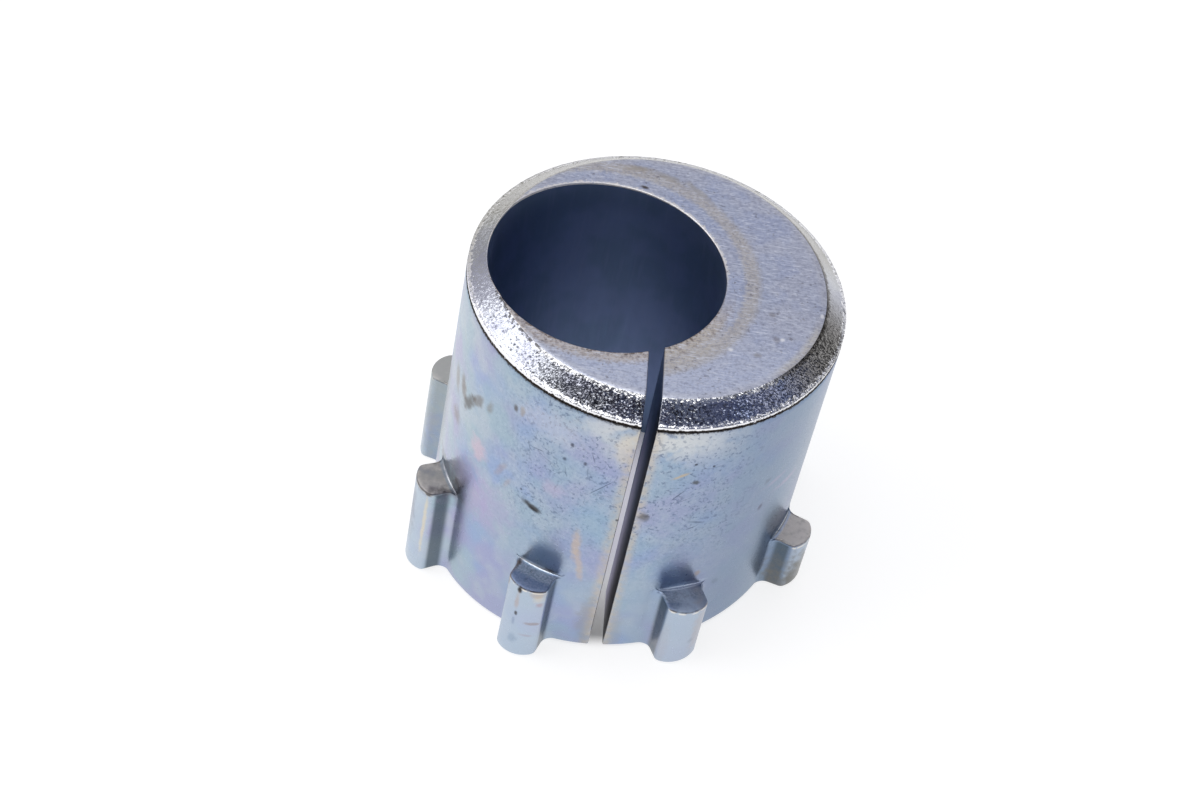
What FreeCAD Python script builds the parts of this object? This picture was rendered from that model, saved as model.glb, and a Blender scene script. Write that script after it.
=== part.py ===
import FreeCAD, Part
import math
import os

# Caster camber bushing: a split steel sleeve for an axle's ball-joint stud.
# Its outer wall fits the round eye of the steering knuckle, and its bore holds the stud.
# The bore leans against the outer wall, so turning the sleeve in the eye tilts the stud.
# The sleeve is formed cold as one piece, so it is one solid.
#
# Frame, in millimetres: +Z runs up along the bore's axis, and the origin is where that
# axis meets the base, the flat end with the lugs, on which the sleeve stands.
# The outer wall's axis starts at the same point and leans towards +X as it rises.
# The slit faces -Y.

# Bore and wall
BORE_DIAMETER = 24.7        # bore for the stud, square to the base
THIN_WALL = 1.85            # wall left at the nose, on the side the bore leans to
TILT = 8.5                  # angle between the bore's axis and the outer wall's, degrees
BODY_LENGTH = 37.9          # base to nose, along the outer wall's axis

# Chamfer round the nose
CHAMFER_DEPTH = 2.5         # measured in from the outer wall
CHAMFER_HEIGHT = 2.0        # measured down from the nose

# Slit that lets the sleeve close on the stud
SLIT_WIDTH = 1.5

# Lugs that index the sleeve in the knuckle, evenly spaced, the slit midway between two
LUG_COUNT = 8
LUG_WIDTH = 4.6
LUG_LENGTH = 10.3           # base to lug top, along the outer wall's axis
LUG_REACH = 2.5             # outer wall to the front's side edges
LUG_CROWN = 1.0             # how much further out the middle of the front stands
LUG_CORNER_RADIUS = 0.8     # rounding between a flank and the front
LUG_ROOT_RADIUS = 1.2       # hollow rounding between a flank and the outer wall
FOOT_RADIUS = 0.5           # rounding of the outer edge all round the base

# Worked out from the sizes above
TILT_RADIANS = math.radians(TILT)
BORE_RADIUS = BORE_DIAMETER / 2
# At the nose the bore's axis is this far from the outer wall's, and its outline is an ellipse.
NOSE_OFFSET = BODY_LENGTH * math.tan(TILT_RADIANS)
NOSE_BORE_RADIUS = BORE_RADIUS / math.cos(TILT_RADIANS)
OUTER_RADIUS = NOSE_OFFSET + NOSE_BORE_RADIUS + THIN_WALL
CREST_RADIUS = OUTER_RADIUS + LUG_REACH + LUG_CROWN
# Cutting tools run this far past the faces that they cut.
OVERRUN = CREST_RADIUS

ORIGIN = FreeCAD.Vector(0, 0, 0)
UP = FreeCAD.Vector(0, 0, 1)
LEAN_AXIS = FreeCAD.Vector(0, 1, 0)


def point_on_lug(angle, out, across, height):
    """A point given from a lug's own centre line: out from the axis, and across."""
    x = out * math.cos(angle) - across * math.sin(angle)
    y = out * math.sin(angle) + across * math.cos(angle)
    return FreeCAD.Vector(x, y, height)


def lug_outline_points(side):
    """Points (out, across) from the outer wall to the crest on one side, -1 or +1.

    They are the root rounding's start, middle and end, then the corner rounding's.
    """
    half = LUG_WIDTH / 2
    # Root rounding: a hollow arc that touches the outer wall and the flank.
    root_across = half + LUG_ROOT_RADIUS
    root_out = math.sqrt((OUTER_RADIUS + LUG_ROOT_RADIUS) ** 2 - root_across ** 2)
    wall_share = OUTER_RADIUS / (OUTER_RADIUS + LUG_ROOT_RADIUS)
    root_start = (root_out * wall_share, root_across * wall_share)
    root_end = (root_out, half)
    start_turn = math.atan2(root_start[1] - root_across, root_start[0] - root_out)
    end_turn = -math.pi / 2
    middle_turn = -(abs(start_turn) + abs(end_turn)) / 2
    root_middle = (
        root_out + LUG_ROOT_RADIUS * math.cos(middle_turn),
        root_across + LUG_ROOT_RADIUS * math.sin(middle_turn),
    )
    # Front: a wide arc through the crest. Corner rounding: touches the flank and the front.
    front_radius = (half ** 2 + LUG_CROWN ** 2) / (2 * LUG_CROWN)
    front_out = CREST_RADIUS - front_radius
    corner_across = half - LUG_CORNER_RADIUS
    corner_reach = front_radius - LUG_CORNER_RADIUS
    corner_out = front_out + math.sqrt(corner_reach ** 2 - corner_across ** 2)
    corner_start = (corner_out, half)
    corner_turn = math.atan2(corner_across, corner_out - front_out)
    corner_end = (
        front_out + front_radius * math.cos(corner_turn),
        front_radius * math.sin(corner_turn),
    )
    middle_turn = (math.pi / 2 + corner_turn) / 2
    corner_middle = (
        corner_out + LUG_CORNER_RADIUS * math.cos(middle_turn),
        corner_across + LUG_CORNER_RADIUS * math.sin(middle_turn),
    )
    points = [root_start, root_middle, root_end, corner_start, corner_middle, corner_end]
    return [(out, side * across) for out, across in points]


def lugged_face(height):
    """Cross-section of the outer wall with its lugs, as a flat face at one height."""
    pitch = 2 * math.pi / LUG_COUNT
    slit_angle = -math.pi / 2
    edges = []
    first_point = None
    last_point = None
    for index in range(LUG_COUNT):
        angle = slit_angle + (index + 0.5) * pitch
        rising = [point_on_lug(angle, *p, height) for p in lug_outline_points(-1)]
        falling = [point_on_lug(angle, *p, height) for p in reversed(lug_outline_points(1))]
        crest = point_on_lug(angle, CREST_RADIUS, 0, height)
        if last_point is None:
            first_point = rising[0]
        else:
            edges.append(wall_arc(last_point, rising[0], angle - pitch / 2, height))
        edges.append(Part.Arc(rising[0], rising[1], rising[2]).toShape())
        edges.append(Part.LineSegment(rising[2], rising[3]).toShape())
        edges.append(Part.Arc(rising[3], rising[4], rising[5]).toShape())
        edges.append(Part.Arc(rising[5], crest, falling[0]).toShape())
        edges.append(Part.Arc(falling[0], falling[1], falling[2]).toShape())
        edges.append(Part.LineSegment(falling[2], falling[3]).toShape())
        edges.append(Part.Arc(falling[3], falling[4], falling[5]).toShape())
        last_point = falling[5]
    edges.append(wall_arc(last_point, first_point, slit_angle, height))
    return Part.Face(Part.Wire(edges))


def wall_arc(start, end, middle_angle, height):
    """The stretch of plain outer wall between two lugs."""
    middle = point_on_lug(middle_angle, OUTER_RADIUS, 0, height)
    return Part.Arc(start, middle, end).toShape()


def outer_form():
    """Outer wall, nose chamfer and lugs, leaned over and cut off level at the base."""
    lugged = lugged_face(-OVERRUN).extrude(UP * (OVERRUN + LUG_LENGTH))
    shaft_top = BODY_LENGTH - CHAMFER_HEIGHT
    shaft_base = FreeCAD.Vector(0, 0, LUG_LENGTH)
    shaft = Part.makeCylinder(OUTER_RADIUS, shaft_top - LUG_LENGTH, shaft_base)
    nose_base = FreeCAD.Vector(0, 0, shaft_top)
    nose = Part.makeCone(OUTER_RADIUS, OUTER_RADIUS - CHAMFER_DEPTH, CHAMFER_HEIGHT, nose_base)
    form = lugged.fuse([shaft, nose]).removeSplitter()
    form.rotate(ORIGIN, LEAN_AXIS, TILT)
    below = Part.makeBox(4 * OVERRUN, 4 * OVERRUN, 4 * OVERRUN)
    below.translate(FreeCAD.Vector(-2 * OVERRUN, -2 * OVERRUN, -4 * OVERRUN))
    form = form.cut(below)
    base_face = min(form.Faces, key=lambda face: face.CenterOfMass.z)
    return form.makeFillet(FOOT_RADIUS, base_face.OuterWire.Edges)


def bore():
    """Round hole, upright on the base."""
    start = FreeCAD.Vector(0, 0, -OVERRUN)
    return Part.makeCylinder(BORE_RADIUS, BODY_LENGTH + 3 * OVERRUN, start)


def slit():
    """Thin slab from outside the wall to the middle of the bore, leaning with the wall."""
    height = BODY_LENGTH + 3 * OVERRUN
    slab = Part.makeBox(SLIT_WIDTH, 2 * CREST_RADIUS, height)
    slab.translate(FreeCAD.Vector(-SLIT_WIDTH / 2, -2 * CREST_RADIUS, -OVERRUN))
    slab.rotate(ORIGIN, LEAN_AXIS, TILT)
    return slab


def camber_bushing():
    """The whole sleeve as one solid."""
    sleeve = outer_form().cut(bore()).cut(slit()).removeSplitter()
    return sleeve.Solids[0] if len(sleeve.Solids) == 1 else sleeve


os.makedirs("parts", exist_ok=True)
sleeve = camber_bushing()
sleeve.exportStep("parts/camber_bushing.step")
box = sleeve.BoundBox
print("outer diameter %.3f, solids %d, valid %s" % (2 * OUTER_RADIUS, len(sleeve.Solids), sleeve.isValid()))
print("box %.2f..%.2f  %.2f..%.2f  %.2f..%.2f" % (box.XMin, box.XMax, box.YMin, box.YMax, box.ZMin, box.ZMax))
print("volume %.1f mm3, faces %d" % (sleeve.Volume, len(sleeve.Faces)))
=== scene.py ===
# %% [markdown]
# # A split steel sleeve
#
# This lesson dresses one small steel part: a caster camber bushing. It is a sleeve that was
# formed cold in one piece, slit along one side, chamfered at its nose and zinc plated.
# Eight lugs stand round its base. The CAD model is loaded first and stays as it is: it gives
# the size and the place, and the mesh that is made here stands in for its one node.

# %% Load the frame
import math
from functools import partial

import bpy
import numpy as np
from mathutils import Matrix, Vector


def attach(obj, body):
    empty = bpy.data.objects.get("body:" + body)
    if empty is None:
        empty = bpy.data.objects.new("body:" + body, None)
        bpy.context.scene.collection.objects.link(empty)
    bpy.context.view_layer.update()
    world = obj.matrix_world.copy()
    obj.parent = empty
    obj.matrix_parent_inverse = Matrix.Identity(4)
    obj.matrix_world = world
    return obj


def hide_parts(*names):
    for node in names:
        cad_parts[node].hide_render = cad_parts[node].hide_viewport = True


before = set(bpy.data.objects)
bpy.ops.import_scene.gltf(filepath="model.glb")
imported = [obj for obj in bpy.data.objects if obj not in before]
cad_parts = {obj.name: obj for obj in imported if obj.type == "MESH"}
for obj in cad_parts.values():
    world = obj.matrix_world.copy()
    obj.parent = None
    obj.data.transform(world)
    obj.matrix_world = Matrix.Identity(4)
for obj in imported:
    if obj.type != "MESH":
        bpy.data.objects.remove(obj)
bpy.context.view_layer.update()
print("nodes in the frame:", sorted(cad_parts))

# %% [markdown]
# ## The sizes of the sleeve
#
# The row frame has +Z up along the bore's axis and its origin where that axis meets the base.
# The outer wall is drawn in a second frame, the wall frame, that leans 8.5 degrees towards +X
# about the same origin. In it the wall is a plain upright cylinder and the base is the slanted
# one. Heights along the leaning axis are called H in the comments. Lengths are in millimetres
# until the mesh is made.

# %% Sizes, in millimetres
MM = 0.001
BORE_RADIUS = 12.35
TILT = math.radians(8.5)
BODY_LENGTH = 37.9
WALL_RADIUS = 20.0
CHAMFER_DEPTH = 2.5
CHAMFER_HEIGHT = 2.0
SLIT_WIDTH = 1.5
LUG_COUNT = 8
LUG_WIDTH = 4.6
LUG_LENGTH = 10.3
CREST_RADIUS = 23.5
LUG_CROWN = 1.0
LUG_CORNER_RADIUS = 0.8
LUG_ROOT_RADIUS = 1.2
FOOT_RADIUS = 0.5

LUG_EDGE_RADIUS = 0.28     # worn edge between a lug's top and its sides
LUG_FILLET_RADIUS = 0.35   # hollow where a lug's top meets the wall
RIM_RADIUS = 0.2           # edge of the bore at the nose and at the base
SLIT_EDGE_RADIUS = 0.18    # edge of the slit, all along

PITCH = 2 * math.pi / LUG_COUNT
LUG_HALF_WIDTH = LUG_WIDTH / 2
SHOULDER = BODY_LENGTH - CHAMFER_HEIGHT          # H where the wall meets the chamfer
NOSE_RADIUS = WALL_RADIUS - CHAMFER_DEPTH        # where the chamfer meets the nose
ROOT_ACROSS = LUG_HALF_WIDTH + LUG_ROOT_RADIUS
LUG_HALF_ANGLE = math.asin(ROOT_ACROSS / (WALL_RADIUS + LUG_ROOT_RADIUS))
SIN_TILT, COS_TILT, TAN_TILT = math.sin(TILT), math.cos(TILT), math.tan(TILT)
print("half angle of a lug with its roots: %.2f degrees" % math.degrees(LUG_HALF_ANGLE))

# %% [markdown]
# ## Columns round the wall
#
# The sleeve's skin is one grid: columns run round it from the slit's right edge to its left
# edge, and rings follow the section from the base, up the wall, over the chamfer and nose and
# down the bore. A grid keeps the faces even, so that reflections run smoothly on the steel.
# A turn is the angle round the wall from the slit, counter-clockwise seen from the nose.

# %% Turns of the columns
LUG_COLUMNS = 64
GAP_COLUMNS = 42
EDGE_TURN = math.asin((SLIT_WIDTH / 2 + SLIT_EDGE_RADIUS) / WALL_RADIUS)


def column_turns():
    """Turns of all columns: close together on the lugs, wider between them."""
    turns = [np.linspace(EDGE_TURN, PITCH / 2 - LUG_HALF_ANGLE, GAP_COLUMNS // 2, endpoint=False)]
    for index in range(LUG_COUNT):
        centre = (index + 0.5) * PITCH
        start, end = centre - LUG_HALF_ANGLE, centre + LUG_HALF_ANGLE
        turns.append(np.linspace(start, end, LUG_COLUMNS, endpoint=False))
        if index < LUG_COUNT - 1:
            turns.append(np.linspace(end, start + PITCH, GAP_COLUMNS, endpoint=False))
    last = 2 * math.pi - EDGE_TURN
    turns.append(np.linspace(end, last, GAP_COLUMNS // 2 + 1))
    return np.concatenate(turns)


TURNS = column_turns()
COLUMNS = len(TURNS)
WALL_DIRECTION = np.stack([np.sin(TURNS), -np.cos(TURNS)], axis=1)
WALL_POINT = WALL_RADIUS * WALL_DIRECTION
print("columns:", COLUMNS)

# %% [markdown]
# ## Where a column meets the bore
#
# The bore leans in the wall frame, so its centre moves with height. A column's bore angle is
# the direction from the bore's centre to the column's place on the wall. Near the slit it is
# pulled over, so that the first and last columns lie exactly along the slit.

# %% Bore angles and bore points
SLIT_PULL_FADES = math.radians(35)


def bore_angles(height):
    """Angle about the bore's axis of each column, for heights above the base."""
    rise = np.broadcast_to(height, COLUMNS) * SIN_TILT
    plain = np.unwrap(np.arctan2(WALL_POINT[:, 0] + rise, -WALL_POINT[:, 1]))
    half = SLIT_WIDTH / 2 + SLIT_EDGE_RADIUS
    first = np.arcsin((half + rise) / (BORE_RADIUS * COS_TILT))
    last = 2 * math.pi + np.arcsin((rise - half) / (BORE_RADIUS * COS_TILT))
    pull_first = (first - plain[0]) * np.exp(-((TURNS - TURNS[0]) / SLIT_PULL_FADES) ** 2)
    pull_last = (last - plain[-1]) * np.exp(-((TURNS[-1] - TURNS) / SLIT_PULL_FADES) ** 2)
    return plain + pull_first + pull_last


def bore_points(angles, height, radius=BORE_RADIUS):
    """Points on the bore in the wall frame, from angles and heights in the row frame."""
    x = radius * np.sin(angles)
    y = -radius * np.cos(angles)
    z = np.broadcast_to(height, COLUMNS)
    return np.stack([x * COS_TILT - z * SIN_TILT, y, x * SIN_TILT + z * COS_TILT], axis=1)


NOSE_EDGE_WEAR = 0.16     # how wide the edge between nose and chamfer is rubbed round


def nose_height(radius):
    """H of the nose face and chamfer at a distance from the wall's axis, its edge worn round."""
    past = radius - NOSE_RADIUS
    worn = 0.5 * (past + np.sqrt(past ** 2 + NOSE_EDGE_WEAR ** 2))
    return BODY_LENGTH - CHAMFER_HEIGHT / CHAMFER_DEPTH * worn


# The bore leans, so each column's rim is found in a few steps.
rim_height = np.full(COLUMNS, BODY_LENGTH)
for _ in range(8):
    rim_angles = bore_angles(rim_height)
    rim = bore_points(rim_angles, rim_height)
    rim_height = rim_height + nose_height(np.hypot(rim[:, 0], rim[:, 1])) - rim[:, 2]
rim = bore_points(rim_angles, rim_height)
rim_radius = np.hypot(rim[:, 0], rim[:, 1])
print("rim from %.2f to %.2f mm above the base" % (rim_height.min(), rim_height.max()))
print("wall left at the nose: %.2f mm" % (WALL_RADIUS - rim_radius.max()))

# %% [markdown]
# ## Rings from the base to the bore
#
# Each ring says how the skin passes one step of the section. Rings on the wall carry two
# heights: one for the plain wall and one for the lugs, so that the lug tops can be flat while
# the wall between them stays evenly divided. The lugs themselves are raised later by a node
# tree, from a few attributes: push is how far a ring follows the lugs, inset is how far an
# edge rounding draws a lug in, wall_inset is how far it has drawn in the plain wall already,
# lug_height is the ring's height on a lug, and base_share is how much it follows the base.

# %% Rings of the outer wall
rings = []


def add_ring(points, zone, push=0.0, inset=0.0, wall_inset=0.0, lug_height=None, base_share=0.0):
    """Keeps one ring of points in the wall frame, with what the node tree needs to know."""
    on_lug = points[:, 2] if lug_height is None else np.full(COLUMNS, lug_height)
    rings.append({
        "points": points, "zone": zone, "push": push, "inset": inset, "wall_inset": wall_inset,
        "lug_height": on_lug, "base_share": base_share,
    })


def wall_ring(height, inset=0.0):
    """A ring of the plain wall at one H."""
    return np.column_stack([(WALL_RADIUS - inset) * WALL_DIRECTION, np.full(COLUMNS, height)])


def quarter_turn(steps, first=0):
    """For a rounded edge of radius 1: how far each step still has to go, and how far it came."""
    turns = [math.pi / 2 * step / (steps - 1) for step in range(first, steps)]
    return [(1 - math.sin(turn), 1 - math.cos(turn)) for turn in turns]


BASE, WALL, CHAMFER, NOSE, BORE, SLIT = range(6)
FOOT_RINGS = 5
LOWER_RINGS = 13
LUG_EDGE_RINGS = 4
LUG_TOP_RINGS = 6
LUG_FILLET_RINGS = 4
UPPER_RINGS = 26
LUG_ZONE_START = 9.4      # the plain wall's rings spread evenly between these two heights
LUG_ZONE_END = 11.4
FILLET_PUSH = 0.1         # share of a lug's depth where its top meets the fillet
LIP_HEIGHT = 0.44         # a fine lip and groove run round the wall under the chamfer

base_rim = bore_points(bore_angles(np.zeros(COLUMNS)), 0.0, BORE_RADIUS + RIM_RADIUS)
for share in (0.0, 0.34, 0.67):
    mixed = (1 - share) * base_rim + share * wall_ring(0.0, FOOT_RADIUS)
    mixed[:, 2] = 0.0
    inset = share * FOOT_RADIUS
    add_ring(mixed, BASE, push=share, inset=inset, wall_inset=inset, base_share=1.0)
for to_go, risen in quarter_turn(FOOT_RINGS):
    inset = FOOT_RADIUS * to_go
    foot = wall_ring(FOOT_RADIUS * risen, inset)
    add_ring(foot, WALL, push=1.0, inset=inset, wall_inset=inset, base_share=1.0)
for share in np.arange(1, LOWER_RINGS) / LOWER_RINGS:
    height = FOOT_RADIUS + share * (LUG_ZONE_START - FOOT_RADIUS)
    on_lug = FOOT_RADIUS + share * (LUG_LENGTH - LUG_EDGE_RADIUS - FOOT_RADIUS)
    add_ring(wall_ring(height), WALL, push=1.0, lug_height=on_lug, base_share=1 - share)

lug_steps = [
    (1.0, LUG_EDGE_RADIUS * risen, LUG_LENGTH - LUG_EDGE_RADIUS * to_go)
    for to_go, risen in quarter_turn(LUG_EDGE_RINGS)
] + [
    (1 - share * (1 - FILLET_PUSH), LUG_EDGE_RADIUS * (1 - share), LUG_LENGTH)
    for share in np.arange(1, LUG_TOP_RINGS) / LUG_TOP_RINGS
] + [
    (FILLET_PUSH * to_go, 0.0, LUG_LENGTH + LUG_FILLET_RADIUS * risen)
    for to_go, risen in quarter_turn(LUG_FILLET_RINGS)
]
for step, (push, inset, on_lug) in enumerate(lug_steps):
    share = step / (len(lug_steps) - 1)
    height = LUG_ZONE_START + share * (LUG_ZONE_END - LUG_ZONE_START)
    add_ring(wall_ring(height), WALL, push=push, inset=inset, lug_height=on_lug)
top = SHOULDER - LIP_HEIGHT
fillet_end = lug_steps[-1][2]
for share in np.arange(1, UPPER_RINGS + 1) / UPPER_RINGS:
    height = LUG_ZONE_END + share * (top - LUG_ZONE_END)
    add_ring(wall_ring(height), WALL, lug_height=fillet_end + share * (top - fillet_end))
print("rings up to the chamfer:", len(rings))

# %% [markdown]
# ## Chamfer, nose and bore
#
# The chamfer was pressed, and its lower edge has a fine groove with a raised lip over it,
# which shows as a dark line under a bright one. On the thin side the bore cuts into the
# chamfer, so there the chamfer ends at the bore and the nose has no width.

# %% Rings of the chamfer, the nose and the bore
CHAMFER_RINGS = 17
NOSE_RINGS = 12
RIM_RINGS = 3
BORE_RINGS = 9
# (distance below or above the shoulder along the surface, inset from the wall or the cone)
LIP_PROFILE = (
    (-0.40, 0.02), (-0.31, 0.08), (-0.22, 0.08), (-0.17, 0.01),
    (-0.13, 0.0), (0.0, 0.0), (0.13, 0.0), (0.19, 0.03),
)
CHAMFER_START = WALL_RADIUS - 0.28    # the lip ends and the chamfer proper starts


def point_at_radius(radius):
    """Where each column's straight line from the wall to the rim crosses a radius."""
    step = rim[:, :2] - WALL_POINT
    square = np.sum(step ** 2, axis=1)
    along = np.sum(step * WALL_POINT, axis=1)
    rest = WALL_RADIUS ** 2 - radius ** 2
    share = (-along - np.sqrt(np.maximum(along ** 2 - square * rest, 0.0))) / square
    return WALL_POINT + share[:, None] * step


def on_form(flat):
    """Adds to points in plan the height of the chamfer or the nose there."""
    return np.column_stack([flat, nose_height(np.hypot(flat[:, 0], flat[:, 1]))])


for height, inset in LIP_PROFILE:
    add_ring(wall_ring(SHOULDER + height, inset), CHAMFER)
chamfer_end = np.maximum(rim_radius, NOSE_RADIUS)
for share in np.arange(CHAMFER_RINGS + 1) / CHAMFER_RINGS:
    radius = CHAMFER_START - share * (CHAMFER_START - chamfer_end)
    add_ring(on_form(point_at_radius(radius)), CHAMFER)
chamfer_edge = point_at_radius(chamfer_end)
inward = rim[:, :2] - WALL_POINT
inward = inward / np.linalg.norm(inward, axis=1)[:, None]
stop = np.maximum(np.linalg.norm(rim[:, :2] - chamfer_edge, axis=1) - RIM_RADIUS, 0.0)
for share in np.arange(1, NOSE_RINGS + 1) / NOSE_RINGS:
    add_ring(on_form(chamfer_edge + (share * stop)[:, None] * inward), NOSE)
for to_go, sunk in quarter_turn(RIM_RINGS + 1, first=1):
    height = rim_height - RIM_RADIUS * sunk
    radius = BORE_RADIUS + RIM_RADIUS * to_go
    add_ring(bore_points(bore_angles(height), height, radius), NOSE)
bore_top = rim_height - RIM_RADIUS
for share in 1 - np.arange(1, BORE_RINGS + 1) / BORE_RINGS:
    height = RIM_RADIUS + share * (bore_top - RIM_RADIUS)
    add_ring(bore_points(bore_angles(height), height), BORE)
print("rings in all:", len(rings), "faces about:", len(rings) * COLUMNS)

# %% [markdown]
# ## The edges of the slit
#
# The slit was cut through the whole wall. Its edges are slightly rounded, so each side gets
# three more columns that turn the corner, and one flat face closes the cut itself.

# %% Grid with rounded slit edges
EDGE_STEPS = 3


def slit_columns(section, side):
    """Columns that round one slit edge, from a section loop, for side +1 (right) or -1."""
    loop = section[:, 1:]
    along = np.roll(loop, -1, axis=0) - np.roll(loop, 1, axis=0)
    length = np.maximum(np.linalg.norm(along, axis=1), 1e-9)
    # The loop runs base, wall, nose, bore, so the steel lies on this side of it.
    into_steel = np.stack([along[:, 1], -along[:, 0]], axis=1) / length[:, None]
    made = []
    for to_go, sunk in quarter_turn(EDGE_STEPS + 1, first=1):
        across = np.full(len(loop), side * (SLIT_WIDTH / 2 + SLIT_EDGE_RADIUS * to_go))
        made.append(np.column_stack([across, loop + into_steel * SLIT_EDGE_RADIUS * sunk]))
    return made


grid = np.stack([ring["points"] for ring in rings], axis=1)
right, left = slit_columns(grid[0], 1)[::-1], slit_columns(grid[-1], -1)
grid = np.concatenate([right, grid, left])
lug_height = np.stack([ring["lug_height"] for ring in rings], axis=1)
lug_height = np.concatenate([grid[:EDGE_STEPS, :, 2], lug_height, grid[-EDGE_STEPS:, :, 2]])
column_count, ring_count = grid.shape[:2]
print("grid of", column_count, "columns and", ring_count, "rings")

# %% [markdown]
# ## From the grid to a mesh
#
# The section is closed, so the last ring joins the first one. Each face keeps its zone, which
# later picks its finish, and each point keeps the values that the node tree reads.

# %% The plain sleeve, without lugs


def of_rings(name):
    """One value for every ring."""
    return np.array([ring[name] for ring in rings])


def grid_mesh():
    """The plain sleeve as a closed mesh in the wall frame, in metres."""
    index = np.arange(column_count * ring_count).reshape(column_count, ring_count)
    here, beside = index[:-1], index[1:]
    faces = np.stack([here, beside, np.roll(beside, -1, axis=1), np.roll(here, -1, axis=1)], axis=2)
    faces = faces.reshape(-1, 4).tolist() + [index[0].tolist(), index[-1, ::-1].tolist()]
    mesh = bpy.data.meshes.new("plain_sleeve")
    mesh.from_pydata((grid.reshape(-1, 3) * MM).tolist(), [], faces)
    zones = np.tile(np.roll(of_rings("zone"), -1), column_count - 1).tolist() + [SLIT, SLIT]
    mesh.attributes.new("zone", "INT", "FACE").data.foreach_set("value", zones)
    values = {
        "turn": np.pad(TURNS, EDGE_STEPS, mode="edge")[:, None],
        "push": of_rings("push"),
        "inset": of_rings("inset") * MM,
        "wall_inset": of_rings("wall_inset") * MM,
        "lug_height": lug_height * MM,
        "base_share": of_rings("base_share"),
        "on_chamfer": of_rings("zone") == CHAMFER,
    }
    for name, value in values.items():
        value = np.broadcast_to(value, (column_count, ring_count)).astype(np.float32).ravel()
        mesh.attributes.new(name, "FLOAT", "POINT").data.foreach_set("value", value)
    mesh.polygons.foreach_set("use_smooth", [True] * (len(faces) - 2) + [False, False])
    return mesh


sleeve = bpy.data.objects.new("split_sleeve", grid_mesh())
bpy.context.scene.collection.objects.link(sleeve)
print("plain sleeve:", len(sleeve.data.vertices), "points,", len(sleeve.data.polygons), "faces")

# %% [markdown]
# ## The outline of one lug
#
# A lug's plan is the same on both sides, so half of it is enough: a hollow root, a straight
# flank, a rounded corner and a wide arc to the crest. The half outline is drawn as a line of
# short edges that a node can sample. Its first coordinate runs out from the wall's axis, and
# its second one across from the lug's middle.

# %% Half outline of a lug
OUTLINE_STEP = math.radians(4)


def arc_points(centre, radius, start, end):
    """Points on an arc, start and end angles in radians, both ends included."""
    count = max(2, round(abs(end - start) * radius / (OUTLINE_STEP * LUG_CORNER_RADIUS)) + 1)
    return [
        (centre[0] + radius * math.cos(turn), centre[1] + radius * math.sin(turn))
        for turn in np.linspace(start, end, count)
    ]


def half_lug_outline():
    """The half outline from the wall to the crest, in millimetres."""
    root_out = math.sqrt((WALL_RADIUS + LUG_ROOT_RADIUS) ** 2 - ROOT_ACROSS ** 2)
    root_start = math.atan2(-ROOT_ACROSS, -root_out)
    points = arc_points((root_out, ROOT_ACROSS), LUG_ROOT_RADIUS, root_start, -math.pi / 2)
    front_radius = (LUG_HALF_WIDTH ** 2 + LUG_CROWN ** 2) / (2 * LUG_CROWN)
    front_out = CREST_RADIUS - front_radius
    corner_across = LUG_HALF_WIDTH - LUG_CORNER_RADIUS
    corner_out = front_out + math.sqrt((front_radius - LUG_CORNER_RADIUS) ** 2 - corner_across ** 2)
    corner_turn = math.atan2(corner_across, corner_out - front_out)
    flank = np.linspace(root_out, corner_out, 10)[1:-1]
    points += [(out, LUG_HALF_WIDTH) for out in flank]
    corner = (corner_out, corner_across)
    points += arc_points(corner, LUG_CORNER_RADIUS, math.pi / 2, corner_turn)
    points += arc_points((front_out, 0.0), front_radius, corner_turn, 0.0)[1:]
    return points


outline = half_lug_outline()
outline_mesh = bpy.data.meshes.new("half_lug_outline")
outline_mesh.from_pydata(
    [(out * MM, across * MM, 0.0) for out, across in outline],
    [(index, index + 1) for index in range(len(outline) - 1)],
    [],
)
lug_outline = bpy.data.objects.new("half_lug_outline", outline_mesh)
print("half outline of a lug:", len(outline), "points, from", outline[0], "to", outline[-1])

# %% [markdown]
# ## One helper for every node
#
# All node trees below are built with the same small function. It adds a node, sets its
# settings, and fills or links its inputs, and it gives back one output to go on with. Tied to
# one tree with partial, it goes by the short name add.

# %% The node helper


def enabled(sockets, name):
    """The socket in use with that name, or at that number."""
    if isinstance(name, int):
        return sockets[name]
    return next(socket for socket in sockets if socket.enabled and name in (None, socket.name))


def add_node(tree, kind, inputs=(), operation=None, take=None, **settings):
    """Adds a node with its settings and links, and returns its output named in take.

    Shader nodes are named without their first part, as in Math for ShaderNodeMath. Inputs go
    by name in a dict or by place in a tuple. Without a name, the first output is returned.
    """
    node = tree.nodes.new(kind if "Node" in kind else "ShaderNode" + kind)
    if operation:
        settings["operation"] = operation
    for setting, value in settings.items():
        setattr(node, setting, value)
    for name, value in inputs.items() if isinstance(inputs, dict) else enumerate(inputs):
        socket = enabled(node.inputs, name)
        if isinstance(value, bpy.types.NodeSocket):
            tree.links.new(value, socket)
        else:
            socket.default_value = value
    return enabled(node.outputs, take) if len(node.outputs) else node


print("node helper ready")

# %% [markdown]
# ## Raising the lugs with Geometry Nodes
#
# The eight lugs repeat round the wall, and they are one with it, so they aren't loose copies:
# the tree takes each point of the plain sleeve to its place on the nearest lug. It finds the
# nearest lug from the point's turn, samples the half outline at the matching share, mirrors it
# to the point's side and turns it round to the lug. Then it slants the base and leans the
# whole sleeve over, which brings it into the CAD model's frame.

# %% Tree that raises the lugs


def new_tree(name, sizes):
    """A geometry tree with a mesh in and out, and named inputs given as (name, socket type)."""
    tree = bpy.data.node_groups.new(name, "GeometryNodeTree")
    tree.interface.new_socket("Mesh", in_out="INPUT", socket_type="NodeSocketGeometry")
    for size, kind in sizes:
        tree.interface.new_socket(size, in_out="INPUT", socket_type=kind)
    tree.interface.new_socket("Mesh", in_out="OUTPUT", socket_type="NodeSocketGeometry")
    return tree


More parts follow.
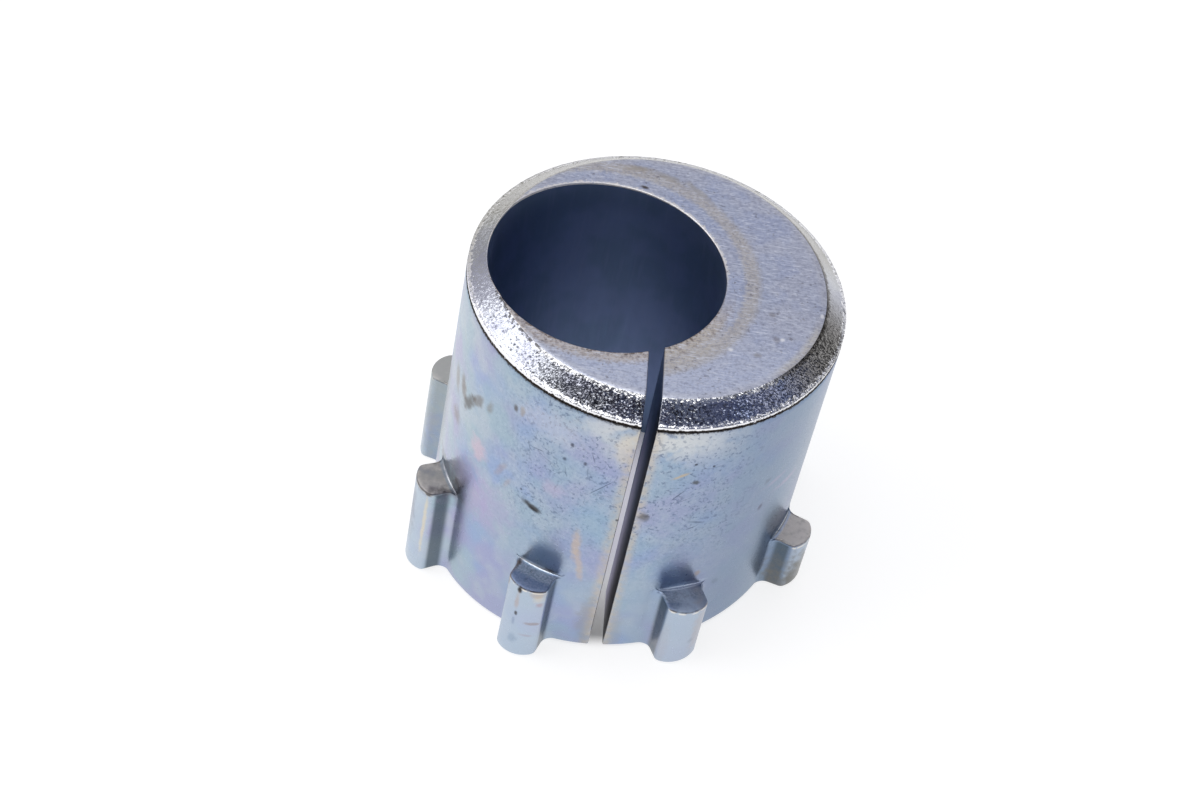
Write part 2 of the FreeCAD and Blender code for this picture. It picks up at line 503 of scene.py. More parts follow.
FLOAT, WHOLE, OBJECT = "NodeSocketFloat", "NodeSocketInt", "NodeSocketObject"
raise_tree = new_tree("raise lugs", [
    ("Lug Outline", OBJECT),
    ("Lug Count", WHOLE),
    ("Lug Half Angle", FLOAT),
    ("Wall Radius", FLOAT),
    ("Blend Depth", FLOAT),
    ("Tilt", FLOAT),
])


def nearest_lug(add, given, turn):
    """Turn from the slit to the nearest lug's middle, and the point's turn away from it."""
    pitch = add("Math", (2 * math.pi, given["Lug Count"]), "DIVIDE")
    lugs_passed = add("Math", (turn, pitch), "DIVIDE")
    whole = add("Math", (lugs_passed,), "FLOOR")
    middle = add("Math", (whole, 0.5), "ADD")
    lug_turn = add("Math", (middle, pitch), "MULTIPLY")
    away = add("Math", (turn, lug_turn), "SUBTRACT")
    return lug_turn, away


def build_raise_tree(add):
    """Fills the tree that raises the lugs, slants the base and leans the sleeve."""
    given = add("NodeGroupInput").node.outputs
    stored = {
        name: add("GeometryNodeInputNamedAttribute", {"Name": name}, take="Attribute")
        for name in ("turn", "push", "inset", "wall_inset", "lug_height", "base_share")
    }
    lug_turn, away = nearest_lug(add, given, stored["turn"])
    side = add("Math", (away,), "SIGN")
    distance = add("Math", (away,), "ABSOLUTE")
    distance = add("Math", (distance, given["Lug Half Angle"]), "MINIMUM")
    along = add(
        "MapRange",
        {"Value": distance, "From Max": given["Lug Half Angle"], "To Min": 1.0, "To Max": 0.0},
    )
    # The wall's own point, seen from the lug's middle.
    cosine = add("Math", (distance,), "COSINE")
    sine = add("Math", (distance,), "SINE")
    radial = add("CombineXYZ", {"X": cosine, "Y": sine})
    wall = add("VectorMath", {0: radial, "Scale": given["Wall Radius"]}, "SCALE")
    # The lug's point, and the direction that faces out of the steel there.
    drawn = add("GeometryNodeObjectInfo", {"Object": given["Lug Outline"]}, take="Geometry")
    curve = add("GeometryNodeMeshToCurve", {"Mesh": drawn})
    lug = add(
        "GeometryNodeSampleCurve", {"Curves": curve, "Factor": along}, take="Position",
        mode="FACTOR",
    )
    tangent = enabled(lug.node.outputs, "Tangent")
    outward = add("VectorRotate", {"Vector": tangent, "Angle": math.pi / 2}, rotation_type="Z_AXIS")
    step = add("VectorMath", (lug, wall), "SUBTRACT")
    depth = add("VectorMath", (step,), "LENGTH")
    blend = add(
        "MapRange", {"Value": depth, "From Max": given["Blend Depth"]},
        interpolation_type="SMOOTHSTEP",
    )
    pushed = add("VectorMath", {0: step, "Scale": stored["push"]}, "SCALE")
    # Edge roundings: the plain wall's own inset is taken back, and the lug's is put in.
    back = add("VectorMath", {0: radial, "Scale": stored["wall_inset"]}, "SCALE")
    drawn_in = add("VectorMath", {0: outward, "Scale": stored["inset"]}, "SCALE")
    rounding = add("VectorMath", (back, drawn_in), "SUBTRACT")
    rounding = add("VectorMath", {0: rounding, "Scale": blend}, "SCALE")
    move = add("VectorMath", (pushed, rounding), "ADD")
    # Mirror to the point's side of the lug, and turn round to the lug.
    mirror = add("CombineXYZ", {"X": 1.0, "Y": side})
    move = add("VectorMath", (move, mirror), "MULTIPLY")
    from_x = add("Math", (lug_turn, math.pi / 2), "SUBTRACT")
    move = add("VectorRotate", {"Vector": move, "Angle": from_x}, rotation_type="Z_AXIS")
    place = add("GeometryNodeInputPosition")
    moved = add("VectorMath", (place, move), "ADD")
    x = add("SeparateXYZ", {"Vector": moved}, take="X")
    height = add(
        "Mix",
        {"Factor": blend, "A": enabled(x.node.outputs, "Z"), "B": stored["lug_height"]},
    )
    # The base is level in the row frame, so in the wall frame it climbs towards +X.
    slope = add("Math", (given["Tilt"],), "TANGENT")
    climb = add("Math", (x, slope), "MULTIPLY")
    height = add("Math", (climb, stored["base_share"], height), "MULTIPLY_ADD")
    upright = add("CombineXYZ", {"X": x, "Y": enabled(x.node.outputs, "Y"), "Z": height})
    leaned = add("VectorRotate", {"Vector": upright, "Angle": given["Tilt"]}, rotation_type="Y_AXIS")
    placed = add("GeometryNodeSetPosition", {"Geometry": given["Mesh"], "Position": leaned})
    whole = add("GeometryNodeRealizeInstances", {"Geometry": placed})
    dressed = add("GeometryNodeSetMaterial", {"Geometry": whole, "Material": undercoat})
    add("NodeGroupOutput", {"Mesh": dressed})


undercoat = bpy.data.materials.new("plain_steel_undercoat")
build_raise_tree(partial(add_node, raise_tree))
print("raise lugs:", len(raise_tree.nodes), "nodes")

# %% [markdown]
# ## Running a tree
#
# A modifier's inputs are set by the identifier of each socket, which never changes, and before
# the object is first evaluated. The result then becomes the object's own plain mesh.

# %% Set the inputs and keep the result


def run_tree(piece, tree, sizes):
    """Runs a geometry tree on a piece with its named sizes, and keeps the result as its mesh."""
    modifier = piece.modifiers.new(tree.name, "NODES")
    modifier.node_group = tree
    for item in tree.interface.items_tree:
        if item.in_out == "INPUT" and item.name in sizes:
            modifier[item.identifier] = sizes[item.name]
    depsgraph = bpy.context.evaluated_depsgraph_get()
    result = bpy.data.meshes.new_from_object(piece.evaluated_get(depsgraph), depsgraph=depsgraph)
    piece.modifiers.clear()
    plain = piece.data
    piece.data = result
    bpy.data.meshes.remove(plain)
    return result


bpy.context.scene.collection.objects.link(lug_outline)
raised = run_tree(sleeve, raise_tree, {
    "Lug Outline": lug_outline,
    "Lug Count": LUG_COUNT,
    "Lug Half Angle": LUG_HALF_ANGLE,
    "Wall Radius": WALL_RADIUS * MM,
    "Blend Depth": 0.6 * MM,
    "Tilt": TILT,
})
bpy.data.objects.remove(lug_outline)
corners = np.array([vertex.co for vertex in raised.vertices]) / MM
print("raised sleeve, box in mm:", corners.min(axis=0).round(2), corners.max(axis=0).round(2))

# %% [markdown]
# ## Colours and shared patterns
#
# Colours are written as sRGB hex values, as a paint chart gives them, and one function turns
# them into the linear values that a shader wants. Every pattern is measured in millimetres in
# the wall frame, so that its scale is the real one. A finish is laid on in layers: a ground
# colour, and over it other colours, each through a mask.

# %% Colours, coordinates and masks


def srgb(text):
    """A linear colour with full alpha from a hex value such as #A9B8CC."""
    channels = [int(text[place:place + 2], 16) / 255 for place in (1, 3, 5)]
    linear = [
        value / 12.92 if value <= 0.04045 else ((value + 0.055) / 1.055) ** 2.4
        for value in channels
    ]
    return (*linear, 1.0)


def emptied(owner):
    """A new material or world with an empty node tree, and the node helper bound to it."""
    owner.use_nodes = True
    owner.node_tree.nodes.clear()
    return owner, partial(add_node, owner.node_tree)


def wall_frame(add):
    """Places in the wall frame in millimetres: a vector, the arc round the wall, H and radius."""
    row = add("TexCoord", take="Object")
    place = add(
        "Mapping",
        {"Vector": row, "Rotation": (0.0, -TILT, 0.0), "Scale": (1 / MM, 1 / MM, 1 / MM)},
    )
    x = add("SeparateXYZ", {"Vector": place}, take="X")
    y = enabled(x.node.outputs, "Y")
    height = enabled(x.node.outputs, "Z")
    front = add("Math", (y, -1.0), "MULTIPLY")
    turn = add("Math", (x, front), "ARCTAN2")
    arc = add("Math", (turn, WALL_RADIUS), "MULTIPLY")
    plan = add("CombineXYZ", {"X": x, "Y": y})
    radius = add("VectorMath", (plan,), "LENGTH")
    return {"place": place, "x": x, "y": y, "height": height, "arc": arc, "radius": radius}


def ramp(add, value, rise=None, fall=None):
    """A mask that rises from 0 to 1 between two values, or falls between two, or does both."""
    masks = [
        add("MapRange", (value, *limits, low, 1 - low), interpolation_type="SMOOTHSTEP")
        for limits, low in ((rise, 0), (fall, 1)) if limits
    ]
    return overlap(add, *masks)


def overlap(add, first, *others):
    """Masks or numbers multiplied together."""
    for other in others:
        first = add("Math", (first, other), "MULTIPLY")
    return first


def layered(add, ground, *layers):
    """Colours painted over a ground, each given as the colour and its masks and shares."""
    for colour, *masks in layers:
        below, above = (srgb(value) if isinstance(value, str) else value for value in (ground, colour))
        inputs = {"Factor": overlap(add, *masks), "A": below, "B": above}
        ground = add("Mix", inputs, data_type="RGBA")
    return ground


NOISE_SPREAD = 0.36  # noise stays near its middle, so a share is spread over this range


def blotches(add, place, size, seed, cover=0.5, soft=0.1, detail=2.0):
    """A mask of soft blotches of a size in millimetres that cover about a share of the steel."""
    moved = add("VectorMath", (place, (31.0 * seed, 17.0 * seed, 0.0)), "ADD")
    field = add("TexNoise", {"Vector": moved, "Scale": 1 / size, "Detail": detail})
    edge = 0.5 + NOISE_SPREAD * (0.5 - cover)
    return ramp(add, field, rise=(edge - soft, edge + soft))


print("pale blue zinc in linear values:", [round(value, 3) for value in srgb("#A9B8CC")])

# %% [markdown]
# ## Marks that handling left
#
# Stains and smudges lie where they lie on this one sleeve, so they are placed one by one: each
# has a place on the steel, a size and a colour. Noise frays their edges.
# A few marks are painted light and shade instead, as the comments beside them say.

# %% Placed marks


def marks(add, across, along, place, colour, spots):
    """Paints marks given as (across, along, half width, half length, share, colour, slant)."""
    fray = add("TexNoise", {"Vector": place, "Scale": 1.1, "Detail": 4})
    flat = add("CombineXYZ", {"X": across, "Y": along, "Z": 1})
    for middle, height, half_width, half_length, share, tint, *slant in spots:
        angle = math.radians(sum(slant))
        cosine, sine = math.cos(angle), math.sin(angle)
        distance = 0
        for over, up, half in ((cosine, sine, half_width), (-sine, cosine, half_length)):
            axis = Vector((over, up, -over * middle - up * height)) / half
            offset = add("VectorMath", (flat, axis), "DOT_PRODUCT")
            distance = add("Math", (offset, offset, distance), "MULTIPLY_ADD")
        distance = add("Math", (distance,), "SQRT")
        frayed = add("Math", (fray, 1.3, distance), "MULTIPLY_ADD")
        mask = ramp(add, frayed, fall=(0.95, 1.85))
        colour = layered(add, colour, (tint, mask, share))
    return colour


def pits(add, place, spacing, size, cover):
    """A mask of tiny sharp pits, a spacing apart in millimetres, on a share of the steel."""
    cells = add("TexVoronoi", {"Vector": place, "Scale": 1 / spacing}, take="Distance")
    dots = ramp(add, cells, fall=(0.5 * size / spacing, size / spacing))
    return overlap(add, dots, blotches(add, place, 3 * spacing, spacing, cover, soft=0.03))


def specks(add, place, size, seed, level, cover=0.5):
    """A mask of small ragged specks where a fine noise is under a level, on a share of it."""
    moved = add("VectorMath", (place, (13 * seed, 29 * seed, 0)), "ADD")
    fine = add("TexNoise", {"Vector": moved, "Scale": 1 / size, "Detail": 3, "Roughness": 0.6})
    dark = ramp(add, fine, fall=(level - 0.025, level + 0.025))
    return overlap(add, dark, blotches(add, place, 6 * size, seed, cover, soft=0.08))


def hairlines(add, place, size, width, cover):
    """A mask of thin curved scratches: the places where a noise passes its middle value."""
    field = add("TexNoise", {"Vector": place, "Scale": 1 / size, "Detail": 1})
    away = add("Math", (field, 0.5), "SUBTRACT")
    away = add("Math", (away,), "ABSOLUTE")
    line = ramp(add, away, fall=(0.3 * width / size, width / size))
    return overlap(add, line, blotches(add, place, 1.2 * size, 7, cover, soft=0.02))


def finish_metal(add, colour, roughness, height, depth, normal=None):
    """Ends a steel finish: base colour, roughness and a bump of a depth in millimetres."""
    bump = {"Height": height, "Distance": depth * MM, "Strength": 1}
    if normal is not None:
        bump["Normal"] = normal
    bumped = add("Bump", bump)
    steel = add(
        "BsdfPrincipled",
        {"Base Color": colour, "Metallic": 1, "Roughness": roughness, "Normal": bumped},
    )
    add("OutputMaterial", {"Surface": steel})


print("patterns ready")

# %% [markdown]
# ## Blue zinc on the wall
#
# The wall is cold-formed steel with a thin bright zinc plating and a clear blue passivate.
# The passivate gives it a pale blue that drifts to lavender and, where it ran thin, to cream.
# The drawn steel under it has fine pits, hair scratches and a soft satin sheen. The sides of
# the lugs carry painted shade, and their fronts are rubbed pale.

# %% Marks placed on the wall and the lugs
# (arc from the slit, H, half width, half length, share, colour, slant in degrees if any)
WALL_MARKS = (
    # Soft drifts of the passivate's colour.
    (-19.6, 13.6, 4.6, 4.6, 0.4, "#B4A3CB"),
    (-15.6, 14.5, 4, 4, 0.3, "#B4A3CB"),
    (-18.5, 20.3, 1.7, 1.7, 0.5, "#DDB9C8"),
    (-8.2, 22.9, 1.6, 1.3, 0.3, "#C6AECB"),
    (-3.6, 20.5, 2.6, 4.6, 0.45, "#94B0C6"),
    (-30.5, 15, 3.4, 11, 0.55, "#8E9698"),
    (-39.5, 9, 5, 14, 0.6, "#A2A8A6"),
    (-9.8, 31.6, 4.6, 2.2, 0.3, "#D9D6DC"),
    (-4.8, 34, 2.6, 1.5, 0.35, "#E0E0DC"),
    (-2, 32, 1, 2.6, 0.5, "#D8CEBC"),
    (4.5, 33.6, 4, 1.6, 0.25, "#DADEDE"),
    (20, 21.3, 2.5, 0.5, 0.35, "#C2A9C4"),
    (17.5, 23.3, 2.2, 0.4, 0.25, "#C2A9C4", 10),
    # Smudges, dirt and tan streaks.
    (-25.4, 24.2, 0.9, 2, 0.5, "#7A6A5C", 15),
    (-23.4, 25, 0.9, 1.8, 0.65, "#6E5D50", 20),
    (-21.6, 24.4, 0.8, 2.2, 0.75, "#4C3E35", -30),
    (-19.9, 26.2, 0.7, 1.8, 0.6, "#66594E", -35),
    (-17.8, 27.4, 0.6, 1.1, 0.5, "#7F766E", -20),
    (-24.1, 19.8, 1.3, 1.2, 0.6, "#857B72"),
    (-14.2, 30.7, 0.35, 0.6, 0.75, "#5A5148"),
    (-13.3, 30.9, 0.4, 0.8, 0.5, "#A0907A"),
    (-14.7, 20.8, 0.5, 1.6, 0.35, "#A58C84", -25),
    (-13.6, 19.6, 0.35, 1, 0.3, "#A58C84", -25),
    (-10.2, 18.7, 1.35, 0.5, 0.9, "#3E3A38", -10),
    (-10.1, 18.5, 0.6, 0.26, 0.7, "#262322", -12),
    (-4.55, 16.2, 0.55, 3, 0.55, "#CDB59B", 3),
    (-3.8, 13, 0.5, 2.6, 0.5, "#CDB59B", 12),
    (-1.7, 4, 1.2, 5, 0.4, "#908E88"),
    (1.6, 3, 1, 4, 0.3, "#9C9C98"),
    (4.4, 28.9, 1.1, 0.26, 0.7, "#C5AE86", 28),
    (6.2, 27.8, 0.5, 0.35, 0.8, "#4C4F4E"),
    (1.7, 22.4, 0.7, 0.9, 0.7, "#5F5B54"),
    (15.8, 24.1, 0.5, 0.5, 0.5, "#6A7488"),
    (15.8, 19.9, 0.4, 0.5, 0.75, "#565870"),
    (12.1, 9.6, 0.5, 0.5, 0.45, "#6C7888"),
    (-7.1, 30.4, 0.25, 0.35, 0.75, "#2E3140"),
    (-5.4, 28.4, 0.22, 0.35, 0.7, "#343848"),
    (-7.6, 28, 0.25, 0.3, 0.7, "#3C4456"),
    # Scratches.
    (4.7, 26, 1.5, 0.06, 0.75, "#39415A", 52),
    (5.6, 25.2, 1.1, 0.05, 0.6, "#39415A", 30),
    (7.4, 21.3, 1, 0.12, 0.7, "#404A64", -15),
    (7, 20.4, 0.7, 0.1, 0.6, "#404A64", 20),
    (-11.8, 27.2, 0.05, 0.7, 0.8, "#303850", 25),
    (-10.7, 27.3, 0.9, 0.06, 0.7, "#303850", 12),
    (-3.2, 25.8, 2.2, 0.06, 0.65, "#39415A", 52),
    (-4.7, 29.6, 0.06, 0.9, 0.7, "#39415A", 20),
    # Marks on the lugs.
    (-8.24, 9.75, 0.25, 0.5, 0.95, "#2E2825"),
    (-10, 10, 0.35, 0.4, 0.8, "#6A584C"),
    (-8.3, 7.6, 0.28, 1.6, 0.45, "#B59C8E"),
    (-8.2, 5.8, 0.2, 0.45, 0.85, "#3E3838"),
    (-8.3, 4.4, 0.22, 0.8, 0.4, "#66789A"),
    (-6.4, 9, 0.5, 0.8, 0.5, "#D8CDBA"),
    (-6.5, 10.5, 0.7, 0.16, 0.8, "#4E4038"),
    (-6.9, 2.6, 0.8, 0.25, 0.4, "#A99AA6"),
    (-6.25, 8, 0.35, 0.5, 0.5, "#B08C8C"),
    (-6.6, 4.7, 0.8, 0.3, 0.55, "#97827A"),
    (-8.1, 1.6, 0.6, 0.9, 0.4, "#8296AC"),
    (-9.8, 9.6, 0.3, 1, 0.6, "#8E7A6A"),
    (-6.5, 9.6, 0.9, 0.5, 0.5, "#B7A28E"),
    (8.6, 5, 0.4, 0.6, 0.4, "#8292A6"),
    (6, 4, 0.6, 5, 0.25, "#B4AEB4"),
    (-21.92, 5, 0.2, 5.4, 0.75, "#DAD2BE"),
    (-23.6, 10.03, 2.6, 0.1, 0.85, "#4A4744"),
    (-21.9, 9.95, 0.4, 0.2, 0.8, "#4A4744"),
    # painted shade: grey over this lug's top and dark grey-brown on the wall above it, where the wall
    # mirrors the dark top
    (-24, 10.7, 4.2, 1.1, 0.55, "#84827E"),
    (-21.3, 11.2, 1.5, 1.4, 0.8, "#514D4C"),
    (-20.4, 10.6, 1.4, 2.4, 0.45, "#6A6A74"),
    # painted light: a paler top on the lug at arc 7.85
    (7.85, 10.6, 2.8, 0.55, 0.7, "#E0EEFC"),
    (14.5, 8, 5, 5, 0.3, "#8093AA"),
    (23.6, 4.2, 3.2, 5.4, 0.95, "#747370"),
    (-24.6, 5, 1.6, 6, 0.8, "#8E96A4"),
    (9.2, 6.5, 0.9, 4.6, 0.5, "#B6AEB0"),
    (9.4, 12.2, 0.4, 0.5, 0.5, "#A08870"),
)
print("marks on the wall and the lugs:", len(WALL_MARKS))

# %% Finish of the wall and the lugs


def wall_finish():
    """Blue zinc plating on the drawn outer wall and the lugs."""
    material, add = emptied(bpy.data.materials.new("blue_zinc_on_drawn_wall"))
    at = wall_frame(add)
    place, arc, height, radius = at["place"], at["arc"], at["height"], at["radius"]
    speckle = add("TexNoise", {"Vector": place, "Scale": 2.6, "Detail": 5, "Roughness": 0.65})
    # Cream where the passivate ran thin: under the chamfer near the slit, and along the slit.
    beside_slit = ramp(add, arc, rise=(-7, -1), fall=(2, 13))
    under_chamfer = ramp(add, height, rise=(28, 35))
    thin = overlap(add, beside_slit, under_chamfer, blotches(add, place, 2.2, 3, 0.75))
    slit_edge = ramp(add, arc, rise=(-2.2, -1), fall=(0.9, 2))
    slit_worn = overlap(add, slit_edge, blotches(add, place, 0.8, 4, 0.8, soft=0.3), 0.7)
    front = ramp(add, arc, rise=(-19, -11), fall=(7, 15))
    ends = add("Math", (arc,), "ABSOLUTE")
    colour = layered(
        add, "#ABBAC9",
        ("#99ADD0", blotches(add, place, 8, 1, 0.45, soft=0.10)),
        ("#ABA6C9", blotches(add, place, 7, 2, 0.42, soft=0.10), 0.75),
        ("#A3BBC4", blotches(add, place, 5.5, 5, 0.4, soft=0.10), 0.65),
        ("#C0C9CE", blotches(add, place, 3.2, 9, 0.35, soft=0.10), 0.45),
    )
    # Lugs: painted shade on the sides, pale fronts, a cream line under the top that is partly rubbed and
    # partly a painted highlight, and a little rust on it.
    on_side = ramp(
        add, radius, rise=(WALL_RADIUS + 0.3, WALL_RADIUS + 0.9),
        fall=(WALL_RADIUS + 1.9, WALL_RADIUS + 2.4),
    )
    lower_side = ramp(add, height, fall=(LUG_LENGTH - 0.4, LUG_LENGTH - 0.1))
    on_front = ramp(add, radius, rise=(WALL_RADIUS + 2.3, WALL_RADIUS + 2.7))
    on_top = overlap(
        add, ramp(add, radius, rise=(WALL_RADIUS + 0.3, WALL_RADIUS + 0.6)),
        ramp(add, height, rise=(LUG_LENGTH - 0.2, LUG_LENGTH - 0.05)),
    )
    on_body = overlap(
        add, ramp(add, height, rise=(4, 20)),
        add("MapRange", {"Value": front, "To Min": 0.3}),
    )
    grain_shown = add("Math", (on_body, on_top), "MAXIMUM")
    dark_grain = overlap(add, ramp(add, speckle, fall=(0.36, 0.5)), grain_shown, 0.5)
    pale_grain = overlap(add, ramp(add, speckle, rise=(0.52, 0.66)), grain_shown, 0.42)
    pitted = ramp(add, arc, rise=(-16, -10), fall=(9, 17))
    pitted = overlap(add, pitted, ramp(add, height, rise=(12, 22)))
    small_pits = overlap(add, specks(add, place, 0.4, 2, 0.41, 0.7), pitted, 0.6)
    large_pits = overlap(add, pits(add, place, 2.3, 0.22, 0.5), pitted, 0.8)
    short_hairs = overlap(
        add, hairlines(add, place, 1.5, 0.05, 0.4), specks(add, place, 1, 5, 0.47, 0.6),
        pitted, 0.4,
    )
    long_hairs = overlap(add, hairlines(add, place, 4, 0.05, 0.22), pitted, 0.3)
    uneven = add("Math", (speckle, 1.5, height), "MULTIPLY_ADD")
    under_lip = ramp(add, uneven, rise=(SHOULDER + 0.15, SHOULDER + 0.25))
    right_shade = ramp(add, arc, rise=(-1, 17), fall=(30, 52))
    colour = layered(
        add, colour,
        ("#7C8CA6", dark_grain),
        ("#C3CDDA", pale_grain),
        ("#A6B4C6", ramp(add, ends, rise=(28, 42)), 0.45),
        # painted shade: the next two layers darken the wall over its front and most towards its right
        ("#90A3BF", ramp(add, arc, rise=(-24, -8), fall=(36, 56)), 0.4),
        ("#6E819C", right_shade, 0.65),
        ("#D6D6D2", thin, 0.8),
        ("#C6BBAA", slit_worn),
        ("#5F6C88", small_pits),
        ("#4A5570", short_hairs),
        ("#4C566E", long_hairs),
        ("#3A3E4A", large_pits),
        # painted shade: a dark band on the wall just under the lip
        ("#403B38", under_lip, 0.8),
    )
    near_top = ramp(
        add, height, rise=(LUG_LENGTH - 0.5, LUG_LENGTH - 0.4),
        fall=(LUG_LENGTH - 0.26, LUG_LENGTH - 0.2),
    )
    top_edge = ramp(
        add, height, rise=(LUG_LENGTH - 0.26, LUG_LENGTH - 0.2),
        fall=(LUG_LENGTH - 0.13, LUG_LENGTH - 0.07),
    )
    rust = blotches(add, place, 0.8, 6, 0.62, soft=0.08)
    worn = blotches(add, place, 0.9, 12, 0.6, soft=0.08)
    fillet_highlight = overlap(
        add, blotches(add, place, 0.5, 13, 0.72),
        ramp(
            add, height, rise=(LUG_LENGTH - 0.05, LUG_LENGTH + 0.05),
            fall=(LUG_LENGTH + 0.16, LUG_LENGTH + 0.32),
        ),
    )
    beside_fillet = overlap(
        add, ramp(add, radius, fall=(WALL_RADIUS + 0.3, WALL_RADIUS + 0.5)),
        ramp(add, radius, rise=(WALL_RADIUS + 0.03, WALL_RADIUS + 0.1)),
    )
    outer_lugs = ramp(add, ends, rise=(17, 20))
    shaded = add(
        "MapRange",
        {"Value": ends, "From Min": 29, "From Max": 34, "To Min": 0.85, "To Max": 0.3},
    )
    colour = layered(
        add, colour,
        # painted shade: the lugs' sides are darker, less so towards the back
        ("#4E5B66", on_side, lower_side, shaded),
        ("#BECAD8", on_front, 0.6),
        # painted light on the lug tops: a lighter top, a darker blue outer half as a painted reflection,
        # and pale tops on the outer lugs
        ("#C3CFDE", on_top, 0.3),
        ("#4F5A7C", on_top, blotches(add, place, 0.22, 14, 0.45, soft=0.06), 0.3),
        ("#DDE0F0", on_top, blotches(add, place, 0.25, 15, 0.35, soft=0.06), 0.5),
        ("#7488B2", on_top, ramp(add, radius, rise=(WALL_RADIUS + 1.3, WALL_RADIUS + 2.1)), 0.65),
        ("#EDE6DC", on_top, outer_lugs, 0.85),
        # partly rubbed wear and partly a painted highlight: a cream line under each lug's top edge
        ("#EAE4D8", on_front, near_top, worn, 0.8),
        ("#5E4C40", on_front, top_edge, rust, 0.75),
        # painted highlight: a bright broken line on the fillet where each lug's top meets the wall
        ("#E6EAF0", beside_fillet, fillet_highlight),
    )
    colour = marks(add, arc, height, place, colour, WALL_MARKS)
    roughness = add("MapRange", {"Value": speckle, "To Min": 0.36, "To Max": 0.22})
    roughness = add("Math", (on_top, 0.3, roughness), "MULTIPLY_ADD")
    smooth_top = overlap(add, on_top, ramp(add, arc, rise=(17, 20)))
    relief = overlap(add, speckle, add("MapRange", {"Value": smooth_top, "To Min": 1, "To Max": 0.3}))
    finish_metal(add, colour, roughness, relief, 0.012)
    return material


print("finish of the wall ready")

# %% [markdown]
# ## The chamfer
#
# The chamfer was pressed over with a rough die, so it is a field of small facets: each
# mirrors another part of the room, which is why it glitters, white on the side of the window
# and dark with white sparks in front. Part of that dark is also painted: the dark navy in its
# hollows and the near-black specks in front are partly oxide and partly painted shade. Its
# edges are rubbed bright in a ragged line, and hold dirt on the thick side. The bright line on
# its lip is a painted highlight, and the dark line in the groove below it is painted shade.

# %% Finish of the chamfer
FACET_SIZE = 0.16     # millimetres, about as large as the facets are on the real chamfer
FACET_TURNS = (0.16, 0.25, 0.42, 0.85)  # how far a facet may lean: ends, left, front, right


def chamfer_finish():
    """Rough pressed chamfer of small facets with rubbed edges, with painted shade in front and in the
    groove, and a painted highlight on the lip.
    """
    material, add = emptied(bpy.data.materials.new("zinc_on_rough_pressed_chamfer"))
    at = wall_frame(add)
    place, radius, height, arc = at["place"], at["radius"], at["height"], at["arc"]
    coarse = add("TexNoise", {"Vector": place, "Scale": 3, "Detail": 3})
    # Facets: each cell of a Voronoi pattern turns the normal its own way.
    stretched = add("Mapping", {"Vector": place, "Rotation": (0, 0, 0.6), "Scale": (1, 1.8, 1)})
    facets = add("TexVoronoi", {"Vector": stretched, "Scale": 1 / FACET_SIZE}, take="Color")
    rough_part = ramp(add, arc, rise=(-27, -19), fall=(18, 26))
    turned = add("VectorMath", (facets, (0.5, 0.5, 0.5)), "SUBTRACT")
    amount = add("MapRange", {"Value": rough_part, "To Min": FACET_TURNS[0], "To Max": FACET_TURNS[1]})
    front = ramp(add, arc, rise=(-12, -7), fall=(20, 27))
    amount = add("Math", (front, FACET_TURNS[2] - FACET_TURNS[1], amount), "MULTIPLY_ADD")
    right_front = ramp(add, arc, rise=(6, 12), fall=(20, 27))
    amount = add("Math", (right_front, FACET_TURNS[3] - FACET_TURNS[2], amount), "MULTIPLY_ADD")
    turned = add("VectorMath", {0: turned, "Scale": amount}, "SCALE")
    plain = add("NewGeometry", take="Normal")
    normal = add("VectorMath", (plain, turned), "ADD")
    normal = add("VectorMath", (normal,), "NORMALIZE")
    hollows = ramp(add, coarse, fall=(0.34, 0.44))
    ends = add("Math", (arc,), "ABSOLUTE")
    thick_side = ramp(add, arc, rise=(14, 22), fall=(27, 36))
    by_slit = ramp(add, arc, rise=(-13.5, -9.5), fall=(-1, 1.5))
    back_left = overlap(add, ramp(add, ends, rise=(33, 40)), 0.75)
    colour = layered(
        add, "#C2C5CC",
        # partly oxide and partly painted shade: dark navy in the hollows and near-black specks in front,
        # for the dark room mirrored there
        ("#23263A", hollows, rough_part, 0.85),
        ("#2C2A2A", ramp(add, coarse, fall=(0.44, 0.56)), by_slit, 0.6),
        ("#14141A", specks(add, place, 0.3, 6, 0.46, 0.9), front, 0.8),
        ("#5C6480", right_front, 0.65),
        ("#8F9CC0", ramp(add, arc, rise=(4, 9), fall=(15, 20)), 0.6),
        ("#B0B2C4", blotches(add, place, 4, 8, 0.4), 0.5),
        ("#7C7974", thick_side, 0.85),
        ("#A5A29A", back_left),
    )
    ragged = add("Math", (coarse, 1, radius), "MULTIPLY_ADD")
    upper = ramp(add, ragged, fall=(NOSE_RADIUS + 0.78, NOSE_RADIUS + 0.90))
    rubbed = overlap(add, upper, ramp(add, arc, rise=(-17, -13), fall=(14, 19)))
    dirty = overlap(add, upper, ramp(add, arc, rise=(13, 17), fall=(42, 54)))
    dotted = overlap(
        add, upper, ramp(add, arc, rise=(-27, -24), fall=(-15, -12)),
        blotches(add, place, 0.5, 10, 0.5, soft=0.04),
    )
    uneven = add("Math", (coarse, 1, height), "MULTIPLY_ADD")
    lip = ramp(
        add, uneven, rise=(SHOULDER + 0.31, SHOULDER + 0.37),
        fall=(SHOULDER + 0.72, SHOULDER + 0.80),
    )
    groove = ramp(add, uneven, fall=(SHOULDER + 0.30, SHOULDER + 0.36))
    colour = layered(
        add, colour,
        ("#F4F4F4", rubbed, 0.85),
        ("#4A4642", dirty, 0.75),
        ("#38342F", dotted, 0.8),
        # painted highlight on the lip and painted shade in the groove under it
        ("#FAFAFC", lip, 0.95),
        ("#38332F", groove),
    )
    roughness = add("MapRange", {"Value": coarse, "To Min": 0.32, "To Max": 0.14})
    finish_metal(add, colour, roughness, coarse, 0.03, normal)
    return material


print("finish of the chamfer ready, with facets of", FACET_SIZE, "mm")


# %% [markdown]
# ## The nose face
#
# The nose was cut off flat and brushed over. It is a duller lavender than the wall, with short
# fine scratches that all run one way, and its plating is rubbed to a tan round the bore.

